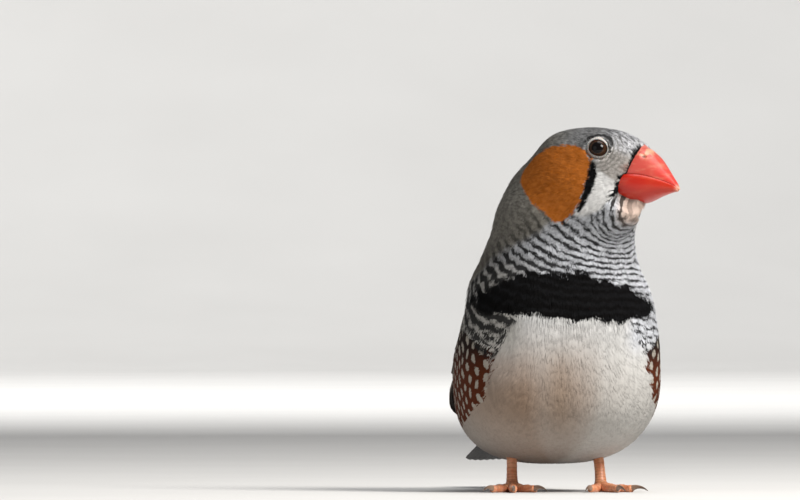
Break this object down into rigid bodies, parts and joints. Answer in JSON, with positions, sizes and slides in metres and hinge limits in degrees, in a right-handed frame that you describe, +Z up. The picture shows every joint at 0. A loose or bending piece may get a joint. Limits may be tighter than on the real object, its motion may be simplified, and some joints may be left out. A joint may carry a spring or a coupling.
{
  "type": "zebra finch",
  "caption": "life-size still model of a male zebra finch, standing low on both feet with its head turned to its left; a museum-type display bird that rests on its toes",
  "frame": {"origin": "middle of the bounding box, at the floor that the toes stand on", "axes": "+Z up, the body faces -Y and the tail points to +Y, the bird's left side is +X"},
  "size_m": [0.0362, 0.0816, 0.0615],
  "materials": {
    "plumage_grey": "soft matte feathers",
    "plumage_barred": "matte feathers, black and off-white bars",
    "plumage_white": "soft matte feathers",
    "plumage_brown": "matte feathers with pale edges",
    "plumage_black": "matte feathers",
    "bill": "glossy horn",
    "eye": "wet gloss",
    "bare_skin": "fine beaded skin",
    "leg_skin": "scaly skin",
    "claw": "satin horn"
  },
  "bodies": {
    "root": {"torso": "plumage_white", "neck": "plumage_barred", "head": "plumage_grey", "bill_upper": "bill", "bill_lower": "bill", "tail": "plumage_black", "eye_left": "eye", "eyelid_left": "bare_skin", "wing_left": "plumage_brown", "leg_left": "leg_skin", "foot_left": "leg_skin", "claw_middle_left": "claw", "claw_inner_left": "claw", "claw_outer_left": "claw", "claw_hind_left": "claw", "eye_right": "eye", "eyelid_right": "bare_skin", "wing_right": "plumage_brown", "leg_right": "leg_skin", "foot_right": "leg_skin", "claw_middle_right": "claw", "claw_inner_right": "claw", "claw_outer_right": "claw", "claw_hind_right": "claw"}
  },
  "joints": []
}
